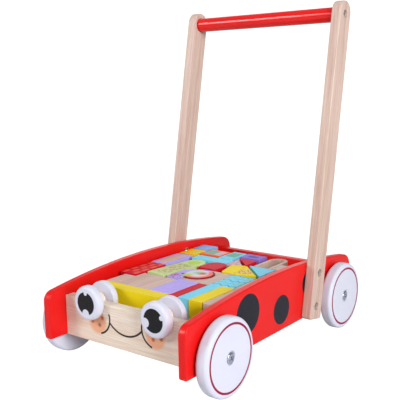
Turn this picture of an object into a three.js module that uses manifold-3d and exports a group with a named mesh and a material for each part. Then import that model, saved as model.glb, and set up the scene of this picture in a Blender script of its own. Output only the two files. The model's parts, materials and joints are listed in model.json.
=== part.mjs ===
// Push-along baby walker: a ladybird-shaped block trolley on four wheels, with
// two leaning posts and a round grip bar. Millimetres, +Z up, the face looks
// along -Y, the child walks behind it on the +Y side. The origin is on the
// ground under the middle of the bounding box.
import * as THREE from 'three';
import { mergeVertices } from 'three/addons/utils/BufferGeometryUtils.js';
import Module from 'manifold-3d';

const wasm = await Module();
wasm.setup();

// ---- Driving dimensions ---------------------------------------------------
const GAP = 0.3; // clearance between pieces that touch

// Side panels: the ladybird's body, seen from the side
const BODY_LENGTH = 420;
const BODY_WIDTH = 246; // over the outer faces of the side panels
const SIDE_THICKNESS = 12;
const SIDE_BOTTOM = 36;
const DOME_TOP = 119;
const DOME_RADIUS = 1200;
const DOME_CENTRE_Y = 2;
const FRONT_CORNER = 14;
const REAR_CORNER = 21;
const BOTTOM_CORNER = 3;

// Front and back panels, let into housings in the side panels
const HOUSING_DEPTH = 4;
const FRONT_FACE_Y = -180;
const FRONT_THICKNESS = 15;
const FRONT_TOP = 92;
const EAR_RADIUS = 10;
const BACK_INNER_Y = 175.5;
const BACK_THICKNESS = 12.5;
const BACK_TOP = 88.5;

// Tray floor, let into grooves all round
const FLOOR_BOTTOM = 61.5;
const FLOOR_THICKNESS = 6;

// Wheels
const WHEEL_RADIUS = 50;
const WHEEL_SIDES = 24;
const WHEEL_SPACER = 2.7; // length of the boss that keeps the wheel off the panel
const WHEEL_OUTER = 20.5; // outer wheel face, from the side panel
const AXLE_YS = { front: -149, rear: 153 };
const WHEEL_BOLT_RADIUS = 4;

// Handle frame
const POST_WIDTH = 32;
const POST_THICKNESS = 14.5;
const POST_LENGTH = 460;
const POST_TILT = THREE.MathUtils.degToRad(10.6);
const POST_FOOT_Y = 69;
const POST_FOOT_Z = 35.4;
const POST_FOOT_CORNER = 4;
const POST_BOLT_HEIGHTS = { lower: 18.7, upper: 67.3 }; // along the post
const POST_BOLT_RECESS = { radius: 5.6, depth: 5.5 };
const GRIP_RADIUS = 10.8;
const GRIP_DROP = 19; // grip axis below the top of the posts
const GRIP_HOUSING = { radius: 11.7, depth: 2 }; // in the posts' inner faces
const SMALL_BOLT_RADIUS = 3;

// Eyes: a turned front disc with a spigot, and a rear disc glued onto it
const EYE_X = 58.8;
const EYE_Z = 92;
const EYE_RADIUS = 23.2;
const EYE_THICKNESS = 11.4;
const EYE_GAP = 1;
const SPIGOT_RADIUS = 5;

// Blocks in the tray
const BLOCK_HEIGHTS = { low: 34.5, full: 36 };
const CLOCK = { x: 0, y: -27, radius: 23.7 };

// ---- Derived places -------------------------------------------------------
const HALF_WIDTH = BODY_WIDTH / 2;
const INNER_X = HALF_WIDTH - SIDE_THICKNESS;
const FRONT_Y = -BODY_LENGTH / 2;
const REAR_Y = BODY_LENGTH / 2;
const TONGUE = HOUSING_DEPTH - GAP;
const PANEL_HALF = INNER_X + TONGUE; // half length of the cross panels
const FRONT_BACK_Y = FRONT_FACE_Y + FRONT_THICKNESS;
const FLOOR_TOP = FLOOR_BOTTOM + FLOOR_THICKNESS;
const GRIP_HEIGHT = POST_LENGTH - GRIP_DROP;
const POST_OUTER = GAP + POST_THICKNESS; // post's outer face, from the side panel

// ---- Materials ------------------------------------------------------------
const paint = (color, roughness = 0.35) =>
  new THREE.MeshStandardMaterial({ color, roughness, metalness: 0 });
const COLOURS = {
  red: paint(0xe32019),
  white: paint(0xe9eaf6),
  pine: paint(0xe0c8b0, 0.6),
  ply: paint(0xe3cfb6, 0.65),
  steel: new THREE.MeshStandardMaterial({ color: 0xa9b2c2, roughness: 0.3, metalness: 0.9 }),
  yellow: paint(0xebc91f),
  blue: paint(0x78d0f5),
  lavender: paint(0xb6a8f0),
  lime: paint(0xb9d566),
  crimson: paint(0xd2203a),
  orange: paint(0xf2703a),
  natural: paint(0xdcc1a8, 0.6),
  purple: paint(0x8d78c8),
  periwinkle: paint(0x8fb0f0),
  pink: paint(0xe3b8c4),
};

// ---- Solids ---------------------------------------------------------------
const model = new THREE.Group();

function add(name, geometry, material, parent = model) {
  const mesh = new THREE.Mesh(geometry, material);
  mesh.name = name;
  parent.add(mesh);
  return mesh;
}

// A closed three.js geometry as a manifold solid
function toSolid(geometry) {
  const bare = geometry.clone();
  bare.deleteAttribute('normal');
  bare.deleteAttribute('uv');
  const merged = mergeVertices(bare, 1e-4);
  const index = merged.index.array;
  const kept = [];
  for (let i = 0; i < index.length; i += 3) {
    const [a, b, c] = [index[i], index[i + 1], index[i + 2]];
    if (a !== b && b !== c && c !== a) kept.push(a, b, c);
  }
  return new wasm.Manifold(new wasm.Mesh({
    numProp: 3,
    vertProperties: new Float32Array(merged.attributes.position.array),
    triVerts: new Uint32Array(kept),
  }));
}

function toGeometry(solid) {
  const mesh = solid.getMesh();
  const geometry = new THREE.BufferGeometry();
  geometry.setAttribute('position', new THREE.BufferAttribute(mesh.vertProperties, 3));
  geometry.setIndex(new THREE.BufferAttribute(mesh.triVerts, 1));
  geometry.computeVertexNormals();
  return geometry;
}

function cut(base, tools) {
  let solid = toSolid(base);
  for (const tool of tools) solid = solid.subtract(toSolid(tool));
  return toGeometry(solid);
}

function box(x0, x1, y0, y1, z0, z1) {
  const geometry = new THREE.BoxGeometry(x1 - x0, y1 - y0, z1 - z0);
  return geometry.translate((x0 + x1) / 2, (y0 + y1) / 2, (z0 + z1) / 2);
}

const extrude = (shape, depth, curveSegments) =>
  new THREE.ExtrudeGeometry(shape, { depth, curveSegments, bevelEnabled: false });

// Shape drawn in (y, z), running from x0 to x1
function alongX(shape, x0, x1, curveSegments = 12) {
  const turn = new THREE.Matrix4().makeBasis(
    new THREE.Vector3(0, 1, 0), new THREE.Vector3(0, 0, 1), new THREE.Vector3(1, 0, 0));
  return extrude(shape, x1 - x0, curveSegments).applyMatrix4(turn).translate(x0, 0, 0);
}

// Shape drawn in (x, z), running from y0 to y1
function alongY(shape, y0, y1, curveSegments = 12) {
  return extrude(shape, y1 - y0, curveSegments).rotateX(Math.PI / 2).translate(0, y1, 0);
}

// Body of revolution about X: the profile lists [x, radius] pairs, the first
// and last on the axis or the profile closed, with a flat facet facing down
function turnedX(profile, sides) {
  const points = profile.map(([x, r]) => new THREE.Vector2(r, x));
  return new THREE.LatheGeometry(points, sides)
    .rotateZ(-Math.PI / 2).rotateX(Math.PI / sides);
}

// The same about Y
function turnedY(profile, sides) {
  const points = profile.map(([y, r]) => new THREE.Vector2(r, y));
  return new THREE.LatheGeometry(points, sides);
}

// A radius for the corners of a many-sided bore whose flats clear a shaft
const boreRadius = (shaft, sides, clearance) => (shaft + clearance) / Math.cos(Math.PI / sides);

function holeX(y, z, radius, x0, x1, sides = 12) {
  return turnedX([[x0, 0], [x0, radius], [x1, radius], [x1, 0]], sides).translate(0, y, z);
}

// ---- Side panels ----------------------------------------------------------
// Centre and end angle of the fillet between a vertical end at y and the dome
function domeFillet(endY, radius) {
  const inward = endY < 0 ? radius : -radius;
  const y = endY + inward;
  const z = DOME_TOP - DOME_RADIUS
    + Math.sqrt((DOME_RADIUS - radius) ** 2 - (y - DOME_CENTRE_Y) ** 2);
  const angle = Math.atan2(z - (DOME_TOP - DOME_RADIUS), y - DOME_CENTRE_Y);
  return { y, z, radius, angle };
}

function sideOutline() {
  const rear = domeFillet(REAR_Y, REAR_CORNER);
  const front = domeFillet(FRONT_Y, FRONT_CORNER);
  const low = SIDE_BOTTOM + BOTTOM_CORNER;
  const shape = new THREE.Shape();
  shape.moveTo(FRONT_Y + BOTTOM_CORNER, SIDE_BOTTOM);
  shape.lineTo(REAR_Y - BOTTOM_CORNER, SIDE_BOTTOM);
  shape.absarc(REAR_Y - BOTTOM_CORNER, low, BOTTOM_CORNER, -Math.PI / 2, 0, false);
  shape.lineTo(REAR_Y, rear.z);
  shape.absarc(rear.y, rear.z, rear.radius, 0, rear.angle, false);
  shape.absarc(DOME_CENTRE_Y, DOME_TOP - DOME_RADIUS, DOME_RADIUS, rear.angle, front.angle, false);
  shape.absarc(front.y, front.z, front.radius, front.angle, Math.PI, false);
  shape.lineTo(FRONT_Y, low);
  shape.absarc(FRONT_Y + BOTTOM_CORNER, low, BOTTOM_CORNER, Math.PI, 1.5 * Math.PI, false);
  return shape;
}

// A point on a leaning post, at a height along it
function onPost(height) {
  return {
    y: POST_FOOT_Y + height * Math.sin(POST_TILT),
    z: POST_FOOT_Z + height * Math.cos(POST_TILT),
  };
}

function sidePanel(side) {
  const faces = [side * INNER_X, side * HALF_WIDTH].sort((a, b) => a - b);
  const inner = [side * (INNER_X - 1), side * (INNER_X + HOUSING_DEPTH)].sort((a, b) => a - b);
  const through = [faces[0] - 1, faces[1] + 1];
  const below = SIDE_BOTTOM - 1;
  const tools = [
    box(...inner, FRONT_FACE_Y - GAP, FRONT_BACK_Y + GAP, below, FRONT_TOP + GAP),
    box(...inner, BACK_INNER_Y - GAP, BACK_INNER_Y + BACK_THICKNESS + GAP, below, BACK_TOP + GAP),
    box(...inner, FRONT_BACK_Y - HOUSING_DEPTH, BACK_INNER_Y + HOUSING_DEPTH,
      FLOOR_BOTTOM - GAP, FLOOR_TOP + GAP),
  ];
  for (const y of Object.values(AXLE_YS)) {
    tools.push(holeX(y, WHEEL_RADIUS, WHEEL_BOLT_RADIUS + GAP, ...through));
  }
  for (const height of Object.values(POST_BOLT_HEIGHTS)) {
    const { y, z } = onPost(height);
    tools.push(holeX(y, z, SMALL_BOLT_RADIUS + GAP, ...through));
  }
  return cut(alongX(sideOutline(), ...faces), tools);
}

// ---- Cross panels and floor -----------------------------------------------
function frontPanel() {
  const shape = new THREE.Shape();
  shape.moveTo(-PANEL_HALF, SIDE_BOTTOM);
  shape.lineTo(PANEL_HALF, SIDE_BOTTOM);
  shape.lineTo(PANEL_HALF, FRONT_TOP);
  for (const x of [EYE_X, -EYE_X]) {
    shape.lineTo(x + EAR_RADIUS, FRONT_TOP);
    shape.absarc(x, EYE_Z, EAR_RADIUS, 0, Math.PI, false);
  }
  shape.lineTo(-PANEL_HALF, FRONT_TOP);
  const bore = boreRadius(SPIGOT_RADIUS, 24, 0.1);
  const tools = [box(-PANEL_HALF - 1, PANEL_HALF + 1, FRONT_BACK_Y - HOUSING_DEPTH,
    FRONT_BACK_Y + 1, FLOOR_BOTTOM - GAP, FLOOR_TOP + GAP)];
  for (const x of [EYE_X, -EYE_X]) {
    const [y0, y1] = [FRONT_FACE_Y - 1, FRONT_BACK_Y + 1];
    tools.push(turnedY([[y0, 0], [y0, bore], [y1, bore], [y1, 0]], 24).translate(x, 0, EYE_Z));
  }
  return cut(alongY(shape, FRONT_FACE_Y, FRONT_BACK_Y), tools);
}

function backPanel() {
  const base = box(-PANEL_HALF, PANEL_HALF, BACK_INNER_Y, BACK_INNER_Y + BACK_THICKNESS,
    SIDE_BOTTOM, BACK_TOP);
  return cut(base, [box(-PANEL_HALF - 1, PANEL_HALF + 1, BACK_INNER_Y - 1,
    BACK_INNER_Y + HOUSING_DEPTH, FLOOR_BOTTOM - GAP, FLOOR_TOP + GAP)]);
}

// ---- Wheels ---------------------------------------------------------------
// Profiles run outwards from the side panel's outer face along +X
function wheel() {
  const tread = WHEEL_RADIUS / Math.cos(Math.PI / WHEEL_SIDES);
  const bore = boreRadius(WHEEL_BOLT_RADIUS, WHEEL_SIDES, 0.1);
  const recess = WHEEL_OUTER - 3;
  return turnedX([
    [GAP, bore], [GAP, 11], [WHEEL_SPACER, 11], [WHEEL_SPACER, 45], [WHEEL_SPACER + 1.6, 48.6],
    [WHEEL_SPACER + 5, tread], [WHEEL_OUTER - 5, tread], [WHEEL_OUTER - 1.6, 48.6],
    [WHEEL_OUTER, 45], [WHEEL_OUTER, 8.6], [recess, 8.6], [recess, bore], [GAP, bore],
  ], WHEEL_SIDES);
}

// Pan-headed bolt: head from `seat` outwards, shank inwards to `end`
function bolt(seat, headRadius, headHeight, shankRadius, end, sides) {
  return turnedX([
    [end, 0], [end, shankRadius], [seat, shankRadius], [seat, headRadius],
    [seat + headHeight * 0.6, headRadius], [seat + headHeight, headRadius * 0.6],
    [seat + headHeight, 0],
  ], sides);
}

// Hexagon nut on the inner face of the side panel
function nut(cornerRadius, height, boltRadius) {
  const start = -SIDE_THICKNESS - GAP;
  const bore = boreRadius(boltRadius, 6, 0.2);
  return turnedX([
    [start - height, bore], [start - height, cornerRadius], [start, cornerRadius],
    [start, bore], [start - height, bore],
  ], 6);
}

// Puts a piece built outwards along +X on the left or right side panel
function onSide(mesh, side, y, z) {
  mesh.position.set(side * HALF_WIDTH, y, z);
  mesh.rotation.z = side > 0 ? 0 : Math.PI;
}

function addWheels() {
  const nutHeight = 6;
  const seat = WHEEL_OUTER - 3 + GAP;
  const end = -SIDE_THICKNESS - GAP - nutHeight - 1;
  for (const [sideName, side] of Object.entries({ left: -1, right: 1 })) {
    for (const [endName, y] of Object.entries(AXLE_YS)) {
      const name = `${endName}_${sideName}`;
      onSide(add(`wheel_${name}`, wheel(), COLOURS.white), side, y, WHEEL_RADIUS);
      onSide(add(`wheel_bolt_${name}`, bolt(seat, 7.5, 3.6, WHEEL_BOLT_RADIUS, end, 24),
        COLOURS.steel), side, y, WHEEL_RADIUS);
      onSide(add(`wheel_nut_${name}`, nut(7.5, nutHeight, WHEEL_BOLT_RADIUS), COLOURS.steel),
        side, y, WHEEL_RADIUS);
    }
  }
}

// ---- Handle frame ---------------------------------------------------------
// The post lies in its own frame: foot at the origin, running up +Z
function post(side) {
  const half = POST_WIDTH / 2;
  const shape = new THREE.Shape();
  shape.absarc(half - POST_FOOT_CORNER, POST_FOOT_CORNER, POST_FOOT_CORNER, -Math.PI / 2, 0, false);
  shape.absarc(0, POST_LENGTH - half, half, 0, Math.PI, false);
  shape.absarc(POST_FOOT_CORNER - half, POST_FOOT_CORNER, POST_FOOT_CORNER, Math.PI,
    1.5 * Math.PI, false);
  const [inner, outer] = [side * (HALF_WIDTH + GAP), side * (HALF_WIDTH + POST_OUTER)];
  const faces = [inner, outer].sort((a, b) => a - b);
  const recess = [outer - side * POST_BOLT_RECESS.depth, outer + side].sort((a, b) => a - b);
  const housing = [inner - side, inner + side * GRIP_HOUSING.depth].sort((a, b) => a - b);
  const tools = [holeX(0, GRIP_HEIGHT, GRIP_HOUSING.radius, ...housing, 24)];
  for (const height of [...Object.values(POST_BOLT_HEIGHTS), GRIP_HEIGHT]) {
    tools.push(holeX(0, height, SMALL_BOLT_RADIUS + GAP, faces[0] - 1, faces[1] + 1));
    tools.push(holeX(0, height, POST_BOLT_RECESS.radius, ...recess));
  }
  return cut(alongX(shape, ...faces, 10), tools);
}

function grip() {
  const end = HALF_WIDTH + GRIP_HOUSING.depth;
  const hole = end - 38;
  const bore = SMALL_BOLT_RADIUS + GAP;
  const ends = [[hole, 0], [hole, bore], [end, bore], [end, GRIP_RADIUS]];
  const mirrored = ends.map(([x, r]) => [-x, r]);
  return turnedX([...mirrored, ...ends.reverse()], 24);
}

function addHandle() {
  const frame = new THREE.Group();
  frame.position.set(0, POST_FOOT_Y, POST_FOOT_Z);
  frame.rotation.x = -POST_TILT;
  model.add(frame);
  const nutHeight = 2.5;
  const seat = POST_OUTER - POST_BOLT_RECESS.depth + GAP;
  const nutEnd = -SIDE_THICKNESS - GAP - nutHeight - 0.5;
  for (const [sideName, side] of Object.entries({ left: -1, right: 1 })) {
    add(`post_${sideName}`, post(side), COLOURS.pine, frame);
    for (const [place, height] of Object.entries(POST_BOLT_HEIGHTS)) {
      const name = `${place}_${sideName}`;
      onSide(add(`post_bolt_${name}`, bolt(seat, 5, 2.6, SMALL_BOLT_RADIUS, nutEnd, 12),
        COLOURS.steel, frame), side, 0, height);
      onSide(add(`post_nut_${name}`, nut(5.8, nutHeight, SMALL_BOLT_RADIUS), COLOURS.steel, frame),
        side, 0, height);
    }
    onSide(add(`grip_bolt_${sideName}`, bolt(seat, 5, 2.6, SMALL_BOLT_RADIUS, -34, 12),
      COLOURS.steel, frame), side, 0, GRIP_HEIGHT);
  }
  add('grip_bar', grip(), COLOURS.red, frame).position.z = GRIP_HEIGHT;
}

// ---- Eyes -----------------------------------------------------------------
function eyeFront() {
  const back = FRONT_FACE_Y - EYE_GAP;
  const face = back - EYE_THICKNESS;
  const end = FRONT_BACK_Y + EYE_GAP + EYE_THICKNESS - 1;
  return turnedY([
    [face, 0], [face, EYE_RADIUS - 4], [face + 1.2, EYE_RADIUS - 1.2], [face + 4, EYE_RADIUS],
    [back - 2, EYE_RADIUS], [back, EYE_RADIUS - 2], [back, SPIGOT_RADIUS], [end, SPIGOT_RADIUS],
    [end, 0],
  ], 24);
}

function eyeRear() {
  const front = FRONT_BACK_Y + EYE_GAP;
  const back = front + EYE_THICKNESS;
  const bore = SPIGOT_RADIUS + GAP;
  return turnedY([
    [front, bore], [front, EYE_RADIUS - 2], [front + 2, EYE_RADIUS], [back - 4, EYE_RADIUS],
    [back - 1.2, EYE_RADIUS - 1.2], [back, EYE_RADIUS - 4], [back, bore], [front, bore],
  ], 24);
}

function addEyes() {
  for (const [sideName, side] of Object.entries({ left: -1, right: 1 })) {
    add(`eye_front_${sideName}`, eyeFront(), COLOURS.white).position.set(side * EYE_X, 0, EYE_Z);
    add(`eye_rear_${sideName}`, eyeRear(), COLOURS.white).position.set(side * EYE_X, 0, EYE_Z);
  }
}

// ---- Blocks ---------------------------------------------------------------
// Outlines are drawn in plan and stand on the tray floor
function polygon(points) {
  const shape = new THREE.Shape();
  points.forEach(([x, y], i) => (i ? shape.lineTo(x, y) : shape.moveTo(x, y)));
  return shape;
}

const rectangle = (x0, x1, y0, y1) => polygon([[x0, y0], [x1, y0], [x1, y1], [x0, y1]]);

function roundEnded(x0, x1, y0, y1) {
  const radius = (x1 - x0) / 2;
  const shape = new THREE.Shape();
  shape.moveTo(x0, y0);
  shape.lineTo(x1, y0);
  shape.absarc((x0 + x1) / 2, y1 - radius, radius, 0, Math.PI, false);
  return shape;
}

function arch(x0, x1, y0, y1, opening, springing) {
  const [middle, radius] = [(x0 + x1) / 2, (x1 - x0) / 2];
  const shape = new THREE.Shape();
  shape.moveTo(middle + opening, y0);
  shape.lineTo(x1, y0);
  shape.absarc(middle, y1 - radius, radius, 0, Math.PI, false);
  shape.lineTo(x0, y0);
  shape.lineTo(middle - opening, y0);
  shape.absarc(middle, springing, opening, Math.PI, 0, true);
  return shape;
}

// A round-ended sign, turned clockwise about the middle of its square end
function turnedSign(x, y, width, length, degrees) {
  const [half, turn] = [width / 2, THREE.MathUtils.degToRad(-degrees)];
  const place = (u, v) => [x + u * Math.cos(turn) - v * Math.sin(turn),
    y + u * Math.sin(turn) + v * Math.cos(turn)];
  const shape = new THREE.Shape();
  shape.moveTo(...place(-half, 0));
  shape.lineTo(...place(half, 0));
  shape.absarc(...place(0, length - half), half, turn, turn + Math.PI, false);
  return shape;
}

// The clock is round, with one square corner towards the front left
function clock() {
  const { x, y, radius } = CLOCK;
  const start = Math.PI + Math.acos(9.5 / radius);
  const shape = new THREE.Shape();
  shape.moveTo(x - 31, y - 33);
  shape.lineTo(x - 9.5, y - 33);
  shape.absarc(x, y, radius, start, start + 1.43 * Math.PI, false);
  shape.lineTo(x - 31, y + 8);
  return shape;
}

// A bridge block whose opening takes the clock's round side
function bridge(x0, x1, y0, y1) {
  const radius = CLOCK.radius + 0.8;
  const reach = Math.asin((x0 - CLOCK.x) / radius);
  const shape = new THREE.Shape();
  shape.moveTo(x0, y0);
  shape.lineTo(x1, y0);
  shape.lineTo(x1, y1);
  shape.lineTo(x0, y1);
  shape.absarc(CLOCK.x, CLOCK.y, radius, Math.PI / 2 - reach, -Math.PI / 2 + reach, true);
  return shape;
}

const { low, full } = BLOCK_HEIGHTS;
const BLOCKS = [
  ['yellow_bar', rectangle(-84, 28.5, -146, -127), full, 'yellow'],
  ['planks', polygon([[-92, -125.5], [-8, -125.5], [-8, -62], [-72, -62], [-72, -81.5],
    [-92, -81.5]]), low, 'natural'],
  ['lavender_bars', rectangle(-7, 28.5, -125.5, -61.5), full, 'lavender'],
  ['crimson_bar', rectangle(30, 44.5, -129, -64.5), full, 'crimson'],
  ['blue_bar', rectangle(46, 63.5, -130, -58.5), full, 'blue'],
  ['yellow_brick', rectangle(65, 86, -131, -58.5), full, 'yellow'],
  ['natural_bricks', polygon([[87.5, -131], [104.5, -131], [104.5, 8], [84, 8], [84, -57],
    [87.5, -57]]), full, 'natural'],
  ['blue_tiles', rectangle(45.5, 82.5, -57, -2), full, 'blue'],
  ['natural_bridge', bridge(-8, 44, -60, 1), low, 'natural'],
  ['clock', clock(), full, 'lavender'],
  ['lime_sign', turnedSign(-54, -59.6, 33, 98, 7), full, 'lime'],
  ['crimson_brick', rectangle(-103, -73.5, -79.5, -13.5), full, 'crimson'],
  ['lavender_brick', rectangle(-104, -74.5, -11.5, 53), full, 'lavender'],
  ['blue_brick', rectangle(-67, -1, 42.8, 63), full, 'blue'],
  ['amber_brick', rectangle(-104.5, -75, 58, 91), full, 'yellow'],
  ['periwinkle_brick', rectangle(-105, -76, 95, 124), full, 'periwinkle'],
  ['orange_brick', rectangle(-72, -35, 72, 104), full, 'orange'],
  ['cyan_brick', rectangle(-32, -8, 66, 110), full, 'blue'],
  ['crimson_arch', roundEnded(-24, 7, 4, 42), full, 'crimson'],
  ['yellow_wedge', polygon([[19, 4], [42, 2], [76, 9.5], [32.5, 49.5], [10.5, 41]]), full,
    'yellow'],
  ['blue_wedge', polygon([[81, 9.5], [81, 51.5], [36.5, 51.5]]), full, 'blue'],
  ['natural_arch', arch(42, 72, 53.5, 113, 10, 98), full, 'natural'],
  ['natural_square', rectangle(72.8, 103.5, 53.5, 81.5), full, 'natural'],
  ['purple_brick', rectangle(-6, 29, 88.5, 111.5), full, 'purple'],
  ['crimson_triangle', polygon([[30, 50.5], [30, 80], [-2.5, 82]]), full, 'crimson'],
  ['pink_triangle', polygon([[1.5, 40], [25, 47.2], [1.5, 73.5]]), full, 'pink'],
];

function addBlocks() {
  for (const [name, shape, height, colour] of BLOCKS) {
    const geometry = extrude(shape, height, 12).translate(0, 0, FLOOR_TOP + GAP);
    add(`block_${name}`, geometry, COLOURS[colour]);
  }
}

// ---- Assembly -------------------------------------------------------------
add('side_panel_left', sidePanel(-1), COLOURS.red);
add('side_panel_right', sidePanel(1), COLOURS.red);
add('front_panel', frontPanel(), COLOURS.pine);
add('back_panel', backPanel(), COLOURS.red);
add('tray_floor', box(-PANEL_HALF, PANEL_HALF, FRONT_BACK_Y - TONGUE, BACK_INNER_Y + TONGUE,
  FLOOR_BOTTOM, FLOOR_TOP), COLOURS.ply);
addWheels();
addHandle();
addEyes();
addBlocks();

export default model;
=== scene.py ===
"""Looks for a push-along wooden baby walker: a ladybird-shaped trolley full of
building blocks, on four wheels, with two leaning posts and a round grip bar.

Shapes are worked out in millimetres in each piece's own u, v, t: u and v span
its outline, and t runs out of its front face. A place matrix carries them into
the row frame. Patterns are worked out in the same u, v, t.
"""
import json
import math

import bpy
from mathutils import Matrix, Vector
from mathutils.geometry import tessellate_polygon

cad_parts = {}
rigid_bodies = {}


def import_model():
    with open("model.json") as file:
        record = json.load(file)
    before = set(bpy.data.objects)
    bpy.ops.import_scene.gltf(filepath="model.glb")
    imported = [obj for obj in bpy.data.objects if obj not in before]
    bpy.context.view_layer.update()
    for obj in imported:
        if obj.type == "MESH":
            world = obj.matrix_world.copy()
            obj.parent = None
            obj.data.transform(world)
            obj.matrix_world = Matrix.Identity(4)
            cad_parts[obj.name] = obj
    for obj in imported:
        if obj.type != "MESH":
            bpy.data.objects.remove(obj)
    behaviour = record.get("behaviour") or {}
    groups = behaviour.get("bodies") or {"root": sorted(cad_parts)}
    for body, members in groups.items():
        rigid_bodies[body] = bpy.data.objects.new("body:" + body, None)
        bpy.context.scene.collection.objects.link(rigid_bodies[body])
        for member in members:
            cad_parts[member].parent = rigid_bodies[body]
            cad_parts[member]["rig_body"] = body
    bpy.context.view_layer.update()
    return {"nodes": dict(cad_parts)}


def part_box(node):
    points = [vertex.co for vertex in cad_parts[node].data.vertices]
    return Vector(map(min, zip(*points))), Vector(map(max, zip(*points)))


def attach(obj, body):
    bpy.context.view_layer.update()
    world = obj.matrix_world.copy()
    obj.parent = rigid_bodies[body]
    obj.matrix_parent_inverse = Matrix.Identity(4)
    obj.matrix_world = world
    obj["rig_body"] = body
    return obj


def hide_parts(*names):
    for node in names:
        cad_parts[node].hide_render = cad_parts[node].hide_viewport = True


MM = 0.001
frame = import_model()
NODES = frame["nodes"]
X, Y, Z = Vector((1, 0, 0)), Vector((0, 1, 0)), Vector((0, 0, 1))
SIDES = {"left": -1, "right": 1}
ENDS = ("front", "rear")


def box_mm(node):
    """A CAD node's lowest and highest corners, in millimetres."""
    low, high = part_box(node)
    return low / MM, high / MM


def centre_mm(node):
    """The middle of a CAD node's box, in millimetres."""
    low, high = box_mm(node)
    return (low + high) / 2


def depth_mm(node):
    """A CAD node's size along y, in millimetres."""
    low, high = box_mm(node)
    return high.y - low.y


# ---------------------------------------------------------------- dimensions
PANEL_LOW, PANEL_HIGH = box_mm("side_panel_right")
PANEL_THICKNESS = PANEL_HIGH.x - PANEL_LOW.x
HALF_WIDTH = PANEL_HIGH.x
DOME_RADIUS, DOME_CENTRE_Y = 1200, 2
FRONT_CORNER, REAR_CORNER, BOTTOM_CORNER = 14, 21, 3
PANEL_EDGE = 2.2  # rounding of the panels' long edges

POST_TILT = math.radians(10.6)
POST_WIDTH, POST_LENGTH = 32, 460
POST_FOOT = Vector((0, 69, 35.4))
POST_EDGE = 1.5
POST_FOOT_CORNER = 4
POST_BOLTS = (18.7, 67.3)
BOLT_RECESS_RADIUS, BOLT_RECESS_DEPTH = 5.6, 5.5
GRIP_HEIGHT = POST_LENGTH - 19
GRIP_HOUSING_RADIUS, GRIP_HOUSING_DEPTH = 11.7, 2
GRIP_EDGE = 0.6

WHEEL_EDGE, WHEEL_BORE_RADIUS = 5.0, 4.2
WHEEL_BOSS_RADIUS, WHEEL_BOSS_LENGTH = 11, 2.4
WHEEL_RECESS_RADIUS, WHEEL_RECESS_DEPTH, WHEEL_RECESS_LIP = 8.6, 3.0, 0.8
WHEEL_RING_RADIUS, WHEEL_RING_WIDTH = 42.3, 3.0

WHEEL_SCREW_HEAD, POST_SCREW_HEAD = 3.6, 2.6
SHANK_SHARE = 0.53  # of a screw's head radius
WHEEL_NUT_EDGE, POST_NUT_EDGE = 0.4, 0.3

EYE_RADIUS, EYE_THICKNESS, EYE_EDGE = 23.2, 11.4, 4.5
EYE_HEIGHT = 92
EYE_SPIGOT_RADIUS, EYE_BORE_RADIUS = 5, 5.2
PUPIL_RADIUS, BITE_OFFSET = 15.4, 14
BIG_BITE_RADIUS, SMALL_BITE_RADIUS = 6.2, 3.0
BITE_ANGLES = {"left": (267, 90), "right": (199, 24)}  # big bite, small bite
EAR_RADIUS = 10
FRONT_PANEL_EDGE = 1.0

BLOCK_EDGE, BLOCK_CORNER = 0.9, 1.0

# Round prints on the outer faces of the side panels: y, z, radius
SPOTS = ((-82, 82.5, 26.5), (0, 66, 20.5), (77.5, 86, 20.5))

# The face on the front panel: x and z, with x as it is on the right half
FACE_LINE = 2.6
MOUTH_CENTRE, MOUTH_RADIUS, MOUTH_TOP = (0, 94.6), 38.2, 69
HOOK_CENTRE, HOOK_RADIUS, HOOK_TOP, HOOK_OUTER = (50, 72.5), 22, 80, 45
CHEEK_CENTRE, CHEEK_RADIUS = (50.5, 65.5), 15.5
# Painted shade under each eye, darkening the top of the cheek
EYE_SHADE_CENTRE, EYE_SHADE_RADIUS = (51.5, 74), 9
FRECKLES, FRECKLE_RADIUS = ((47, 62), (60, 65), (41.5, 72.5)), 2.6


# ------------------------------------------------------------------ placing
def placed(origin, u, v, t):
    """The matrix that carries a piece's own (u, v, t) into the row frame."""
    matrix = Matrix((u, v, t)).transposed().to_4x4()
    matrix.translation = origin
    return matrix


def post_axes():
    """Along a post, and across it towards the back."""
    along = Vector((0, math.sin(POST_TILT), math.cos(POST_TILT)))
    return along, Vector((0, math.cos(POST_TILT), -math.sin(POST_TILT)))


# ----------------------------------------------------------------- outlines
def arc(centre, radius, start, end, step=6):
    """Points on an arc, angles in degrees, both ends included."""
    count = max(2, round(abs(end - start) / step))
    angles = [math.radians(start + (end - start) * i / count) for i in range(count + 1)]
    return [(centre[0] + radius * math.cos(a), centre[1] + radius * math.sin(a)) for a in angles]


def softened(corners, radius, step=22):
    """A counter-clockwise outline with each corner turned on a small radius."""
    outline = []
    for i, corner in enumerate(corners):
        corner = Vector(corner)
        before = (Vector(corners[i - 1]) - corner).normalized()
        after = (Vector(corners[(i + 1) % len(corners)]) - corner).normalized()
        half = before.angle(after) / 2
        centre = corner + (before + after).normalized() * radius / math.sin(half)
        first = corner + before * radius / math.tan(half) - centre
        turn = math.degrees(math.pi - 2 * half)
        if before.cross(after) > 0:
            turn = -turn
        start = math.degrees(math.atan2(first.y, first.x))
        outline += arc(centre, radius, start, start + turn, step)
    return outline


def inset(outline, distance):
    """The outline moved inwards, corners mitred."""
    moved = []
    for i, (u, v) in enumerate(outline):
        before, after = Vector(outline[i - 1]), Vector(outline[(i + 1) % len(outline)])
        here = Vector((u, v))
        a, b = (here - before).normalized(), (after - here).normalized()
        na, nb = Vector((-a.y, a.x)), Vector((-b.y, b.x))
        shift = (na + nb) * distance / (1 + na.dot(nb))
        moved.append((u + shift.x, v + shift.y))
    return moved


# ------------------------------------------------------------------- meshes
HARD_ANGLE, CUT_HARD_ANGLE = 40, 35  # degrees; an edge sharper than this stays hard


def band(faces, first, second, count):
    """Joins two closed rings of points, given by the index of their first point."""
    for i in range(count):
        j = (i + 1) % count
        faces.append((first + i, first + j, second + j, second + i))


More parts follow.
